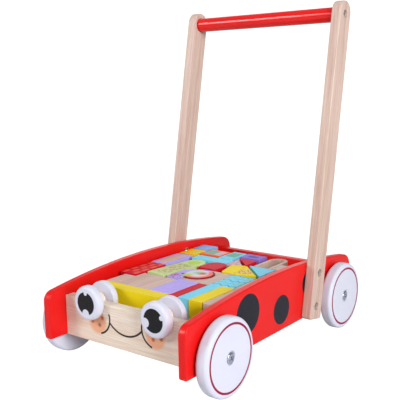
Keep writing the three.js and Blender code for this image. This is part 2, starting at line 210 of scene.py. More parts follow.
def board(outline, thickness, edge, holes=(), steps=4):
    """A board with rounded edges, and round blind holes (u, v, radius, depth) in its front."""
    angles = [math.radians(90 * i / steps) for i in range(steps + 1)]
    levels = [(edge * (1 - math.sin(a)), edge * (1 - math.cos(a))) for a in angles]
    levels += [(d, thickness - t) for d, t in reversed(levels)]
    count = len(outline)
    verts, faces = [], []
    for distance, t in levels:
        verts += [(u, v, t) for u, v in inset(outline, distance)]
    for level in range(len(levels) - 1):
        band(faces, level * count, (level + 1) * count, count)
    faces.append(tuple(reversed(range(count))))
    top = len(verts) - count
    if not holes:
        faces.append(tuple(range(top, top + count)))
        return verts, faces
    loops = [list(range(top, top + count))]
    for u, v, radius, depth in holes:
        loops.append(sink(verts, faces, (u, v), radius, depth, thickness))
    flat = [i for loop in loops for i in loop]
    rings = [[Vector(verts[i]) for i in loop] for loop in loops]
    for triangle in tessellate_polygon(rings):
        a, b, c = (flat[i] for i in triangle)
        normal = (Vector(verts[b]) - Vector(verts[a])).cross(Vector(verts[c]) - Vector(verts[a]))
        faces.append((a, b, c) if normal.z > 0 else (a, c, b))
    return verts, faces


def sink(verts, faces, centre, radius, depth, surface, sides=32, rim=0.5):
    """Adds a blind hole's wall and bottom, and returns the loop at its mouth."""
    start = len(verts)
    for r, t in ((radius + rim, surface), (radius, surface - rim), (radius, surface - depth)):
        for i in range(sides):
            a = 2 * math.pi * i / sides
            verts.append((centre[0] + r * math.cos(a), centre[1] + r * math.sin(a), t))
    band(faces, start, start + sides, sides)
    band(faces, start + sides, start + 2 * sides, sides)
    faces.append(tuple(range(start + 2 * sides, start + 3 * sides)))
    return list(range(start, start + sides))


def turned(profile, sides=96):
    """A body of revolution about t. The profile's (t, radius) points run forwards along
    the outside, from the axis to the axis, or round a closed section."""
    closed = profile[0] == profile[-1]
    points = profile[:-1] if closed else profile
    verts, faces, rings = [], [], []
    for t, radius in points:
        rings.append((len(verts), radius == 0))
        if radius == 0:
            verts.append((0, 0, t))
        else:
            verts += [(radius * math.cos(2 * math.pi * i / sides),
                       radius * math.sin(2 * math.pi * i / sides), t) for i in range(sides)]
    pairs = list(zip(rings, rings[1:])) + ([(rings[-1], rings[0])] if closed else [])
    for (a, a_point), (b, b_point) in pairs:
        if a_point:
            faces += [(a, b + (i + 1) % sides, b + i) for i in range(sides)]
        elif b_point:
            faces += [(a + i, a + (i + 1) % sides, b) for i in range(sides)]
        else:
            band(faces, a, b, sides)
    return verts, faces


def rounded_end(t, radius, edge, direction, steps=5):
    """The profile of a turned disc's rounded corner, from its rim to its face."""
    return [(t - direction * edge * (1 - math.sin(a)), radius - edge * (1 - math.cos(a)))
            for a in (math.radians(90 * i / steps) for i in range(steps + 1))]


def linked(name, data):
    """A new object in the scene."""
    made = bpy.data.objects.new(name, data)
    bpy.context.scene.collection.objects.link(made)
    return made


def mesh_from(name, shape, place):
    """A mesh in the row frame, with its faces pointing out, from a shape in u, v, t."""
    verts, faces = shape
    if place.to_3x3().determinant() < 0:
        faces = [tuple(reversed(face)) for face in faces]
    mesh = bpy.data.meshes.new(name)
    mesh.from_pydata([(place @ Vector(v)) * MM for v in verts], [], faces)
    return mesh


def flatten_faces(made):
    """Keeps flat faces flat under smooth shading, and hard edges hard."""
    weighted = made.modifiers.new("weighted normals", "WEIGHTED_NORMAL")
    weighted.keep_sharp = True


def piece(name, shape, place, body, material, replaces=()):
    """Makes a visible piece from a shape in u, v, t, and puts it on its body."""
    mesh = mesh_from(name, shape, place)
    mesh.validate()
    made = linked(name, mesh)
    mesh.shade_smooth()
    mesh.set_sharp_from_angle(angle=math.radians(HARD_ANGLE))
    flatten_faces(made)
    mesh.materials.append(material)
    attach(made, body)
    if replaces:
        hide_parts(*replaces)
    return made


def dress(node, material, edge=0.0):
    """Keeps a CAD node and gives it a material and softened edges."""
    kept = NODES[node]
    kept.data.materials.clear()
    kept.data.materials.append(material)
    if edge:
        bevel = kept.modifiers.new("softened edges", "BEVEL")
        bevel.width = edge * MM
        bevel.segments = 3
        bevel.limit_method = "ANGLE"
        bevel.angle_limit = math.radians(HARD_ANGLE)
        bevel.harden_normals = False
    kept.data.shade_smooth()
    flatten_faces(kept)


def cut_out(target, cutter_shape, place):
    """Cuts a shape out of a piece's mesh, and keeps its other modifiers as they are."""
    cutter = linked("cutter", mesh_from("cutter", cutter_shape, place))
    boolean = target.modifiers.new("cut", "BOOLEAN")
    boolean.operation, boolean.object, boolean.solver = "DIFFERENCE", cutter, "EXACT"
    others = [m for m in target.modifiers if m.name != "cut"]
    for modifier in others:
        modifier.show_viewport = False
    evaluated = target.evaluated_get(bpy.context.evaluated_depsgraph_get())
    result = bpy.data.meshes.new_from_object(evaluated)
    target.modifiers.remove(boolean)
    target.data = result
    result.set_sharp_from_angle(angle=math.radians(CUT_HARD_ANGLE))
    for modifier in others:
        modifier.show_viewport = True
    bpy.data.objects.remove(cutter)


# ---------------------------------------------------------------- materials
def colour(red, green, blue):
    """A linear RGBA colour from 0-255 display values."""
    def linear(value):
        value /= 255
        return value / 12.92 if value <= 0.04045 else ((value + 0.055) / 1.055) ** 2.4
    return (linear(red), linear(green), linear(blue), 1.0)


RED = colour(233, 22, 20)
CRIMSON = colour(212, 18, 44)
BRICK = colour(238, 92, 74)
WHITE = colour(222, 224, 240)
RING = colour(150, 6, 60)
PUPIL = colour(16, 17, 22)
SPOT = colour(26, 26, 38)
LINE = colour(40, 26, 22)
CHEEK = colour(238, 170, 128)
FRECKLE = colour(160, 66, 34)
PINE, PINE_DARK = colour(246, 233, 216), colour(220, 192, 168)
BEECH, BEECH_DARK = colour(220, 197, 182), colour(186, 152, 134)
YELLOW = colour(246, 222, 22)
AMBER = colour(250, 196, 22)
BLUE = colour(130, 222, 255)
LAVENDER = colour(192, 176, 254)
LIME = colour(206, 228, 156)
LEAF = colour(184, 220, 76)
ORANGE = colour(255, 106, 56)
PERIWINKLE = colour(136, 182, 242)
PURPLE = colour(150, 122, 216)
NAVY = colour(70, 92, 170)
MINT = colour(132, 206, 176)
SALMON = colour(255, 128, 108)
PAPER = colour(226, 226, 232)
TAN = colour(214, 190, 156)
ROSE = colour(222, 182, 192)
PINK = colour(206, 110, 178)
INK = colour(40, 36, 44)


class Shader:
    """A Principled material with patterns in a piece's own u, v, t, in millimetres."""

    def __init__(self, name, place, seed=0.0, roughness=0.4, **fixed):
        self.material = bpy.data.materials.new(name)
        self.material.use_nodes = True
        self.tree = self.material.node_tree
        self.bsdf = self.tree.nodes["Principled BSDF"]
        self.bsdf.inputs["Roughness"].default_value = roughness
        for key, value in fixed.items():
            self.bsdf.inputs[key.replace("_", " ")].default_value = value
        self.seed = seed
        point = self.tree.nodes.new("ShaderNodeTexCoord").outputs["Object"]
        origin = place.translation
        self.u, self.v, self.t = (
            self.along(point, axis, origin) for axis in
            (place.col[0].to_3d(), place.col[1].to_3d(), place.col[2].to_3d()))

    def along(self, point, axis, origin):
        dot = self.tree.nodes.new("ShaderNodeVectorMath")
        dot.operation = "DOT_PRODUCT"
        self.tree.links.new(point, dot.inputs[0])
        dot.inputs[1].default_value = axis
        return self.math("MULTIPLY_ADD", dot.outputs["Value"], 1 / MM, -axis.dot(origin))

    def feed(self, socket, value):
        if isinstance(value, bpy.types.NodeSocket):
            self.tree.links.new(value, socket)
        else:
            socket.default_value = value

    def math(self, operation, *values, clamp=False):
        node = self.tree.nodes.new("ShaderNodeMath")
        node.operation, node.use_clamp = operation, clamp
        for socket, value in zip(node.inputs, values):
            self.feed(socket, value)
        return node.outputs[0]

    def vector(self, u, v, t):
        node = self.tree.nodes.new("ShaderNodeCombineXYZ")
        for socket, value in zip(node.inputs, (u, v, t)):
            self.feed(socket, value)
        return node.outputs[0]

    def noise(self, scale_u, scale_v, scale_t, detail=3.0, roughness=0.5, distortion=0.0):
        """Smooth noise from 0 to 1; the scales are in cycles per millimetre."""
        node = self.tree.nodes.new("ShaderNodeTexNoise")
        at = self.vector(*(self.math("MULTIPLY_ADD", c, s, self.seed) for c, s in
                           ((self.u, scale_u), (self.v, scale_v), (self.t, scale_t))))
        self.feed(node.inputs["Vector"], at)
        node.inputs["Scale"].default_value = 1.0
        node.inputs["Detail"].default_value = detail
        node.inputs["Roughness"].default_value = roughness
        node.inputs["Distortion"].default_value = distortion
        return node.outputs["Fac"]

    def mix(self, first, second, factor):
        """The first colour where the factor is 0, and the second where it is 1."""
        node = self.tree.nodes.new("ShaderNodeMix")
        node.data_type = "RGBA"
        self.feed(node.inputs["Factor"], factor)
        self.feed(node.inputs[6], first)  # A, as a colour
        self.feed(node.inputs[7], second)  # B
        return node.outputs[2]

    def ramp(self, value, low, high):
        """0 below low, 1 above high, straight between them."""
        node = self.tree.nodes.new("ShaderNodeMapRange")
        node.clamp = True
        self.feed(node.inputs["Value"], value)
        node.inputs["From Min"].default_value = low
        node.inputs["From Max"].default_value = high
        return node.outputs["Result"]

    def both(self, *masks):
        result = masks[0]
        for mask in masks[1:]:
            result = self.math("MULTIPLY", result, mask)
        return result

    def either(self, *masks):
        result = masks[0]
        for mask in masks[1:]:
            result = self.math("MAXIMUM", result, mask)
        return result

    def without(self, mask, hole):
        return self.math("MULTIPLY", mask, self.math("SUBTRACT", 1.0, hole))

    def distance(self, u, v):
        du, dv = self.math("SUBTRACT", self.u, u), self.math("SUBTRACT", self.v, v)
        return self.math("SQRT", self.math("ADD", self.math("MULTIPLY", du, du),
                                           self.math("MULTIPLY", dv, dv)))

    def disc(self, u, v, radius, soft=0.25):
        return self.ramp(self.distance(u, v), radius + soft, radius - soft)

    def ring(self, u, v, radius, width, soft=0.2):
        off = self.math("ABSOLUTE", self.math("SUBTRACT", self.distance(u, v), radius))
        return self.ramp(off, width / 2 + soft, width / 2 - soft)

    def over(self, value, level, soft=0.2):
        return self.ramp(value, level - soft, level + soft)

    def under(self, value, level, soft=0.2):
        return self.ramp(value, level + soft, level - soft)

    def bar(self, u0, u1, v0, v1, soft=0.25):
        return self.both(self.over(self.u, u0, soft), self.under(self.u, u1, soft),
                         self.over(self.v, v0, soft), self.under(self.v, v1, soft))

    def wave(self, v, width, height, length, soft=0.3):
        """A wavy stripe along u, about this v."""
        phase = self.math("MULTIPLY", self.u, 2 * math.pi / length)
        swing = self.math("MULTIPLY", self.math("SINE", phase), height)
        off = self.math("ABSOLUTE", self.math("SUBTRACT", self.math("SUBTRACT", self.v, v), swing))
        return self.ramp(off, width / 2 + soft, width / 2 - soft)

    def dots(self, spacing, radius):
        """Scattered round dots over u and v."""
        node = self.tree.nodes.new("ShaderNodeTexVoronoi")
        node.voronoi_dimensions = "2D"
        node.inputs["Scale"].default_value = 1 / spacing
        node.inputs["Randomness"].default_value = 0.8
        self.feed(node.inputs["Vector"], self.vector(self.u, self.v, 0.0))
        size = radius / spacing
        return self.ramp(node.outputs["Distance"], size * 1.25, size * 0.75)

    def bump(self, height, depth_mm):
        node = self.tree.nodes.new("ShaderNodeBump")
        node.inputs["Strength"].default_value = 1.0
        node.inputs["Distance"].default_value = depth_mm * MM
        self.feed(node.inputs["Height"], height)
        self.feed(self.bsdf.inputs["Normal"], node.outputs[0])

    def edge(self, radius_mm=1.6, flat=0.995, sharp=0.86):
        """1 on sharp and rounded edges, 0 on flat faces. The limits are cosines of the
        angle between the true normal and one blurred over the radius."""
        bevel = self.tree.nodes.new("ShaderNodeBevel")
        bevel.samples = 4
        bevel.inputs["Radius"].default_value = radius_mm * MM
        normal = self.tree.nodes.new("ShaderNodeNewGeometry").outputs["Normal"]
        dot = self.tree.nodes.new("ShaderNodeVectorMath")
        dot.operation = "DOT_PRODUCT"
        self.tree.links.new(bevel.outputs[0], dot.inputs[0])
        self.tree.links.new(normal, dot.inputs[1])
        return self.ramp(dot.outputs["Value"], flat, sharp)

    def tint(self, base, tone, mask, strength):
        """The base with a colour laid over it, as strong as this where the mask is 1."""
        return self.mix(base, tone, self.math("MULTIPLY", mask, strength))

    def finish(self, base, roughness=None):
        self.feed(self.bsdf.inputs["Base Color"], base)
        if roughness is not None:
            self.feed(self.bsdf.inputs["Roughness"], roughness)
        return self.material


def shade(tone, factor):
    """A colour made darker or lighter."""
    return (min(1, tone[0] * factor), min(1, tone[1] * factor), min(1, tone[2] * factor), 1.0)


def grain(shader, light, dark, figure=1.0):
    """Wood along u: a slow figure, a rosy cast, fine streaks and short dark pores.
    Returns its colour, and the streaks for the roughness and the bump."""
    broad = shader.noise(0.006, 0.10 * figure, 0.10, detail=3, distortion=1.2)
    cast = shader.noise(0.003, 0.16 * figure, 0.16, detail=2)
    streak = shader.noise(0.016, 0.9, 0.9, detail=4, roughness=0.7)
    pores = shader.noise(0.10, 2.6, 2.6, detail=2)
    rosy = (light[0] * 0.97, light[1] * 0.89, light[2] * 0.95, 1.0)
    tone = shader.mix(light, rosy, shader.ramp(cast, 0.40, 0.60))
    tone = shader.tint(tone, dark, shader.ramp(broad, 0.42, 0.72), 0.6)
    tone = shader.tint(tone, dark, shader.ramp(streak, 0.45, 0.72), 0.75)
    tone = shader.tint(tone, shade(light, 1.12), shader.ramp(streak, 0.46, 0.30), 0.6)
    tone = shader.tint(tone, shade(dark, 0.70), shader.ramp(pores, 0.64, 0.76), 0.5)
    return tone, streak


def lacquered_wood(name, place, light, dark, seed, prints=None, figure=1.0):
    """Bare wood under a thin satin lacquer."""
    shader = Shader(name, place, seed, Coat_Weight=0.1, Coat_Roughness=0.3, Specular_IOR_Level=0.35)
    tone, streak = grain(shader, light, dark, figure)
    if prints:
        tone = prints(shader, tone)
    tone = shader.tint(tone, shade(dark, 0.85), shader.edge(), 0.25)
    shader.bump(streak, 0.06)
    return shader.finish(tone, shader.math("MULTIPLY_ADD", streak, 0.25, 0.38))


def painted(name, place, tone, seed, prints=None, roughness=0.34, wear_and_highlight=0.25, coat=0.04, shine=0.24):
    """Sprayed paint on wood: faint mottling, grain telegraphing through, and lighter edges that are
    partly rubbed wear and partly a painted highlight.
    """
    shader = Shader(name, place, seed, Coat_Weight=coat, Coat_Roughness=0.14, Specular_IOR_Level=shine)
    cloud = shader.noise(0.02, 0.02, 0.02, detail=3)
    speck = shader.noise(0.35, 0.35, 0.35, detail=3, roughness=0.6)
    through = shader.noise(0.02, 0.8, 0.8, detail=3, roughness=0.6)
    base = shader.mix(shade(tone, 0.92), shade(tone, 1.06), cloud)
    base = shader.tint(base, shade(tone, 0.86), shader.ramp(through, 0.5, 0.8), 0.35)
    if prints:
        base = prints(shader, base)
    # Edges are lightened, partly as rubbed wear and partly as a painted highlight along the rounded
    # edges
    rubbed_and_lit_edges = shader.both(shader.edge(), shader.ramp(speck, 0.42, 0.62))
    worn_and_lit = shader.mix(shade(tone, 1.3), BEECH, 0.3)
    base = shader.tint(base, worn_and_lit, rubbed_and_lit_edges, wear_and_highlight)
    shader.bump(shader.math("MULTIPLY_ADD", speck, 0.5, through), 0.05)
    return shader.finish(base, shader.math("MULTIPLY_ADD", speck, 0.16, roughness - 0.08))


def plated(name, place, seed, tone=colour(214, 222, 236)):
    """Zinc-plated steel with fine turning marks."""
    shader = Shader(name, place, seed, Metallic=1.0)
    turning = shader.math("SINE", shader.math("MULTIPLY", shader.distance(0, 0), 22.0))
    blotch = shader.noise(0.35, 0.35, 0.35, detail=3)
    base = shader.mix(tone, shade(tone, 0.55), shader.ramp(blotch, 0.45, 0.75))
    shader.bump(shader.math("MULTIPLY_ADD", turning, 0.3, blotch), 0.02)
    return shader.finish(base, shader.math("MULTIPLY_ADD", blotch, 0.2, 0.12))


# ------------------------------------------------------------------- panels
def side_outline():
    """A board with a domed top edge, seen from the side: u is y and v is z."""
    front, rear, low, top = PANEL_LOW.y, PANEL_HIGH.y, PANEL_LOW.z, PANEL_HIGH.z
    dome = (DOME_CENTRE_Y, top - DOME_RADIUS)

    def fillet(end, radius):
        """The centre of a round corner between an upright end and the dome, and the
        angle at which it meets the dome."""
        y = end + (radius if end < 0 else -radius)
        z = dome[1] + math.sqrt((DOME_RADIUS - radius) ** 2 - (y - dome[0]) ** 2)
        return (y, z), math.degrees(math.atan2(z - dome[1], y - dome[0]))

    rear_at, rear_angle = fillet(rear, REAR_CORNER)
    front_at, front_angle = fillet(front, FRONT_CORNER)
    corner = BOTTOM_CORNER
    outline = arc((front + corner, low + corner), corner, 180, 270, 22)
    outline += arc((rear - corner, low + corner), corner, 270, 360, 22)
    outline += arc(rear_at, REAR_CORNER, 0, rear_angle)
    outline += arc(dome, DOME_RADIUS, rear_angle, front_angle, 0.7)[1:-1]
    outline += arc(front_at, FRONT_CORNER, front_angle, 180)
    return outline


def spots(shader, base):
    """Dark round spots on a side panel's outer face."""
    marks = shader.either(*(shader.disc(*spot) for spot in SPOTS))
    outside = shader.over(shader.t, PANEL_THICKNESS - 0.4)
    return shader.mix(base, SPOT, shader.both(marks, outside))


def make_side_panels():
    for side, sign in SIDES.items():
        place = placed(X * sign * (HALF_WIDTH - PANEL_THICKNESS), Y, Z, X * sign)
        paint = painted(f"red_side_{side}", place, RED, 3.1 * sign, prints=spots)
        piece(f"side_board_{side}", board(side_outline(), PANEL_THICKNESS, PANEL_EDGE, steps=5),
              place, "trolley", paint, [f"side_panel_{side}"])


def on_half(sign, centre):
    """A place on the right half of the face, or its mirror image on the left."""
    return sign * centre[0], centre[1]


def face_print(shader, base):
    """Mouth, cheeks and freckles on the front panel's outer face, and painted shade at the top of each
    cheek, under the eye.
    """
    outside = shader.over(shader.t, depth_mm("front_panel") - 0.4)
    for sign in (-1, 1):
        cheek = shader.disc(*on_half(sign, CHEEK_CENTRE), CHEEK_RADIUS, soft=2.4)
        cheek = shader.both(cheek, outside)
        base = shader.tint(base, CHEEK, cheek, 0.9)
        # The top of the cheek is darkened under the eye: painted shade, not a printed blush
        eye_shade = shader.disc(*on_half(sign, EYE_SHADE_CENTRE), EYE_SHADE_RADIUS, soft=7)
        base = shader.tint(base, shade(CHEEK, 0.62), shader.both(cheek, eye_shade), 0.8)
        for centre in FRECKLES:
            spot = shader.disc(*on_half(sign, centre), FRECKLE_RADIUS, soft=1.3)
            base = shader.tint(base, FRECKLE, shader.both(spot, outside), 0.85)
        inwards = shader.math("MULTIPLY", shader.u, -sign)
        hook = shader.both(shader.ring(*on_half(sign, HOOK_CENTRE), HOOK_RADIUS, FACE_LINE),
                           shader.under(shader.v, HOOK_TOP), shader.over(inwards, -HOOK_OUTER))
        base = shader.mix(base, LINE, shader.both(hook, outside))
    mouth = shader.both(shader.ring(*MOUTH_CENTRE, MOUTH_RADIUS, FACE_LINE),
                        shader.under(shader.v, MOUTH_TOP))
    return shader.mix(base, LINE, shader.both(mouth, outside))


def make_front_panel():
    low, high = box_mm("front_panel")
    outline = [(low.x, low.z), (high.x, low.z), (high.x, EYE_HEIGHT)]
    for side in ("right", "left"):
        outline += arc((centre_mm(f"eye_front_{side}").x, EYE_HEIGHT), EAR_RADIUS, 0, 180, 12)
    outline.append((low.x, EYE_HEIGHT))
    place = placed(Y * high.y, X, Z, -Y)
    wood = lacquered_wood("front_wood", place, PINE, PINE_DARK, 1.7, prints=face_print)
    piece("front_board", board(outline, high.y - low.y, FRONT_PANEL_EDGE), place, "trolley",
          wood, ["front_panel"])


def make_back_panel():
    low, high = box_mm("back_panel")
    place = placed(Y * low.y, X, Z, Y)
    paint = painted("red_back", place, RED, 8.8)
    outline = [(low.x, low.z), (high.x, low.z), (high.x, high.z), (low.x, high.z)]
    piece("back_board", board(outline, high.y - low.y, PANEL_EDGE), place, "trolley",
          paint, ["back_panel"])


def make_floor_panel():
    place = placed(Vector(), Y, X, Z)
    wood = lacquered_wood("birch_ply", place, PINE, PINE_DARK, 5.2, figure=0.5)
    dress("tray_floor", wood)


# ------------------------------------------------------------------- wheels
def wheel_print(shader, base):
    """A painted ring near the rim of the outer face."""
    low, high = box_mm("wheel_front_right")
    face = shader.over(shader.t, high.x - low.x - 1.0)
    line = shader.ring(0, 0, WHEEL_RING_RADIUS, WHEEL_RING_WIDTH)
    return shader.mix(base, RING, shader.both(line, face))


def wheel_profile(width, radius):
    """A bored wheel with a boss on its inner face and a screw's recess in its outer one."""
    boss, recess, lip = WHEEL_BOSS_LENGTH, WHEEL_RECESS_RADIUS, WHEEL_RECESS_LIP
    pit = width - WHEEL_RECESS_DEPTH
    inner = [(0, WHEEL_BORE_RADIUS), (0, WHEEL_BOSS_RADIUS), (boss, WHEEL_BOSS_RADIUS)]
    tread = [(boss, radius - WHEEL_EDGE)] + rounded_end(boss, radius, WHEEL_EDGE, -1)[::-1]
    tread += rounded_end(width, radius, WHEEL_EDGE, 1)
    outer = [(width, recess + lip), (width - lip, recess), (pit, recess)]
    return inner + tread + outer + [(pit, WHEEL_BORE_RADIUS), (0, WHEEL_BORE_RADIUS)]


def make_wheels():
    for side, sign in SIDES.items():
        for end in ENDS:
            name = f"wheel_{end}_{side}"
            low, high = box_mm(name)
            centre = (low + high) / 2
            inner = low.x if sign > 0 else high.x
            place = placed(Vector((inner, centre.y, centre.z)), Y, Z, X * sign)
            paint = painted(f"white_{name}", place, WHITE, centre.y * 0.1 + sign,
                            prints=wheel_print, roughness=0.35, wear_and_highlight=0.1)
            profile = wheel_profile(high.x - low.x, (high.z - low.z) / 2)
            piece(name + "_turned", turned(profile), place, name, paint, [name])
            make_bolt(f"wheel_bolt_{end}_{side}", sign, WHEEL_SCREW_HEAD)
            steel = plated(f"nut_{end}_{side}", placed(centre, Y, Z, X), 1.0)
            dress(f"wheel_nut_{end}_{side}", steel, WHEEL_NUT_EDGE)


def cross(arm, width, depth):
    """A cross-shaped recess cutter, pointing down from t = 0."""
    verts, faces = [], []
    corners = [(arm, -width), (arm, width), (width, width), (width, arm), (-width, arm),
               (-width, width), (-arm, width), (-arm, -width), (-width, -width), (-width, -arm),
               (width, -arm), (width, -width)]
    for scale, t in ((0.55, -depth), (1.0, 1.0)):
        verts += [(u * scale, v * scale, t) for u, v in corners]
    band(faces, 0, len(corners), len(corners))
    faces.append(tuple(reversed(range(len(corners)))))
    faces.append(tuple(range(len(corners), 2 * len(corners))))
    return verts, faces


def make_bolt(node, sign, head, tilt=0.4):
    """A pan-headed screw in place of the CAD bolt, with a cross recess."""
    low, high = box_mm(node)
    centre = (low + high) / 2
    radius = (high.z - low.z) / 2
    length = high.x - low.x
    inner = low.x if sign > 0 else high.x
    u = Y * math.cos(tilt) + Z * math.sin(tilt)
    v = -Y * math.sin(tilt) + Z * math.cos(tilt)
    place = placed(Vector((inner, centre.y, centre.z)), u, v, X * sign)
    shank, rim = radius * SHANK_SHARE, length - head
    dome = [(length - head * 0.62 * (1 - math.sin(a)), radius * (0.45 + 0.55 * math.cos(a)))
            for a in (math.radians(15 * i) for i in range(7))]
    profile = [(0, 0), (0, shank - 0.5), (0.5, shank), (rim, shank), (rim, radius - 0.3),
               (rim + 0.3, radius)] + dome + [(length, 0)]
    made = piece(node + "_screw", turned(profile, 48), place, frame_body(node),
                 plated("steel_" + node, place, centre.z * 0.1), [node])
    cut_out(made, cross(radius * 0.5, radius * 0.12, head * 0.6),
            place @ Matrix.Translation((0, 0, length)))


def frame_body(node):
    """The name of the body that a CAD node rides on."""
    return NODES[node]["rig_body"]


# ------------------------------------------------------------- handle frame
def post_outline():
    """A strip with a round top end and small corners at its foot, along u."""
    half, corner = POST_WIDTH / 2, POST_FOOT_CORNER
    outline = arc((corner, half - corner), corner, 90, 180, 18)
    outline += arc((corner, corner - half), corner, 180, 270, 18)
    return outline + arc((POST_LENGTH - half, 0), half, -90, 90, 9)


def make_posts():
    along, across = post_axes()
    for side, sign in SIDES.items():
        low, high = box_mm(f"post_{side}")
        inner = low.x if sign > 0 else high.x
        place = placed(POST_FOOT + X * inner, along, across, X * sign)
        wood = lacquered_wood(f"post_wood_{side}", place, BEECH, BEECH_DARK, 2.3 * sign, figure=1.2)
        holes = [(u, 0, BOLT_RECESS_RADIUS, BOLT_RECESS_DEPTH) for u in (*POST_BOLTS, GRIP_HEIGHT)]
        made = piece(f"post_board_{side}", board(post_outline(), high.x - low.x, POST_EDGE, holes),
                     place, "trolley", wood, [f"post_{side}"])
        housing = [(-1, 0), (-1, GRIP_HOUSING_RADIUS), (GRIP_HOUSING_DEPTH, GRIP_HOUSING_RADIUS),
                   (GRIP_HOUSING_DEPTH, 0)]
        cut_out(made, turned(housing, 48), place @ Matrix.Translation((GRIP_HEIGHT, 0, 0)))
        for bolt in (f"post_bolt_lower_{side}", f"post_bolt_upper_{side}", f"grip_bolt_{side}"):
            make_bolt(bolt, sign, POST_SCREW_HEAD, tilt=0.9)
        for spot in ("lower", "upper"):
            node = f"post_nut_{spot}_{side}"
            steel = plated(node + "_steel", placed(centre_mm(node), Y, Z, X), 2.0)
            dress(node, steel, POST_NUT_EDGE)


def make_grip():
    low, high = box_mm("grip_bar")
    along, across = post_axes()
    centre = POST_FOOT + along * GRIP_HEIGHT
    place = placed(centre + X * low.x, across, along, X)
    radius, length = (high.z - low.z) / 2, high.x - low.x
    profile = [(0, 0), (0, radius - GRIP_EDGE), (GRIP_EDGE, radius),
               (length - GRIP_EDGE, radius), (length, radius - GRIP_EDGE), (length, 0)]
    paint = painted("red_grip", placed(centre, X, across, along), RED, 6.4, roughness=0.24, wear_and_highlight=0.0,
                    coat=0.28)
    piece("grip_dowel", turned(profile, 64), place, "trolley", paint, ["grip_bar"])


# --------------------------------------------------------------------- eyes
def pupil_print(big, small):
    """A round pupil with a big and a small bite out of it, at these angles."""
    def prints(shader, base):
        mark = shader.disc(0, 0, PUPIL_RADIUS)
        for angle, radius in ((big, BIG_BITE_RADIUS), (small, SMALL_BITE_RADIUS)):
            u = BITE_OFFSET * math.cos(math.radians(angle))
            v = BITE_OFFSET * math.sin(math.radians(angle))
            mark = shader.without(mark, shader.disc(u, v, radius))
        front = shader.over(shader.t, EYE_THICKNESS - 0.6)
        return shader.mix(base, PUPIL, shader.both(mark, front))
    return prints


def eye_profile(thickness, spigot, end):
    """A disc with a slightly eased back rim and a well rounded front rim."""
    back = [(0, EYE_RADIUS - 2), (0.6, EYE_RADIUS - 0.6), (2, EYE_RADIUS)]
    return spigot + back + rounded_end(thickness, EYE_RADIUS, EYE_EDGE, 1) + end


def make_eyes():
    """Each eye is a front disc with a spigot, and a rear disc bored to take it."""
    for side in SIDES:
        at = centre_mm(f"eye_front_{side}")
        low, high = box_mm(f"eye_front_{side}")
        place = placed(Vector((at.x, low.y + EYE_THICKNESS, EYE_HEIGHT)), X, Z, -Y)
        depth = high.y - low.y - EYE_THICKNESS
        paint = painted(f"eye_white_{side}", place, WHITE, at.x,
                        prints=pupil_print(*BITE_ANGLES[side]), roughness=0.3, wear_and_highlight=0.05)
        spigot = [(-depth, 0), (-depth, EYE_SPIGOT_RADIUS), (0, EYE_SPIGOT_RADIUS)]
        profile = eye_profile(EYE_THICKNESS, spigot, [(EYE_THICKNESS, 0)])
        piece(f"eye_disc_{side}", turned(profile), place, f"eye_{side}", paint,
              [f"eye_front_{side}"])
        low, high = box_mm(f"eye_rear_{side}")
        place = placed(Vector((at.x, low.y, EYE_HEIGHT)), X, Z, Y)
        depth = high.y - low.y
        profile = eye_profile(depth, [(0, EYE_BORE_RADIUS)],
                              [(depth, EYE_BORE_RADIUS), (0, EYE_BORE_RADIUS)])
        piece(f"eye_rear_disc_{side}", turned(profile), place, f"eye_{side}",
              painted(f"eye_rear_white_{side}", place, WHITE, at.x + 4, roughness=0.3, wear_and_highlight=0.05),
              [f"eye_rear_{side}"])


# ------------------------------------------------------------------- blocks
PLAN = placed(Vector(), X, Y, Z)  # u is x and v is y
PLAN_TURNED = placed(Vector(), Y, X, Z)  # u, and so the grain, along y
SIGN_TURN, SIGN_END = math.radians(-7), Vector((-54, -59.6, 0))
SIGN_PLACE = placed(SIGN_END, X * math.cos(SIGN_TURN) + Y * math.sin(SIGN_TURN),
                    Y * math.cos(SIGN_TURN) - X * math.sin(SIGN_TURN), Z)
CLOCK_CENTRE = (0, -27)


def on_top(shader, node, mask):
    """The mask, kept to the upper face of a block."""
    return shader.both(mask, shader.over(shader.t, box_mm(node)[1].z - 0.5, 0.15))


def panel_on(shader, node, insets, soft=1.0):
    """A rectangle on a block's upper face, this far in from the face's low and high u
    and its low and high v."""
    low, high = box_mm(node)
    u_low, u_high, v_low, v_high = insets
    mark = shader.bar(low.x + u_low, high.x - u_high, low.y + v_low, high.y - v_high, soft)
    return on_top(shader, node, mark)


def brick_print(shader, base):
    """Staggered courses of light bricks."""
    node = "block_crimson_brick"
    low = box_mm(node)[0]
    course, pitch = 10.2, 18
    half_width, length = 3.4, 13
    for row in range(3):
        for column in range(4):
            u = low.x + 4 + row * course
            v = low.y + 1.5 + column * pitch + (pitch / 2 if row % 2 else 0)
            mark = on_top(shader, node, shader.bar(u - half_width, u + half_width, v, v + length, 0.6))
            base = shader.mix(base, BRICK, mark)
    return base


def rose_panel_print(shader, base):
    """A rose panel with a tan band, inside a lavender border."""
    rose = panel_on(shader, "block_lavender_brick", (4.5, 5, 4.5, 6))
    tan = shader.both(rose, shader.ramp(shader.noise(0.03, 0.03, 0, detail=2), 0.45, 0.6))
    return shader.mix(shader.mix(base, ROSE, rose), TAN, tan)


def leaf_print(shader, base):
    """A speckled strip, and a round leaf near the rounded end."""
    node = "block_lime_sign"
    strip = on_top(shader, node, shader.bar(-12, 12, 8, 66, 3.0))
    base = shader.tint(base, TAN, strip, 0.5)
    speckle = shader.both(shader.dots(7.5, 2.0), strip)
    base = shader.tint(base, shade(LEAF, 0.35), speckle, 0.7)
    return shader.mix(base, LEAF, on_top(shader, node, shader.disc(1, 79, 10, 1.5)))


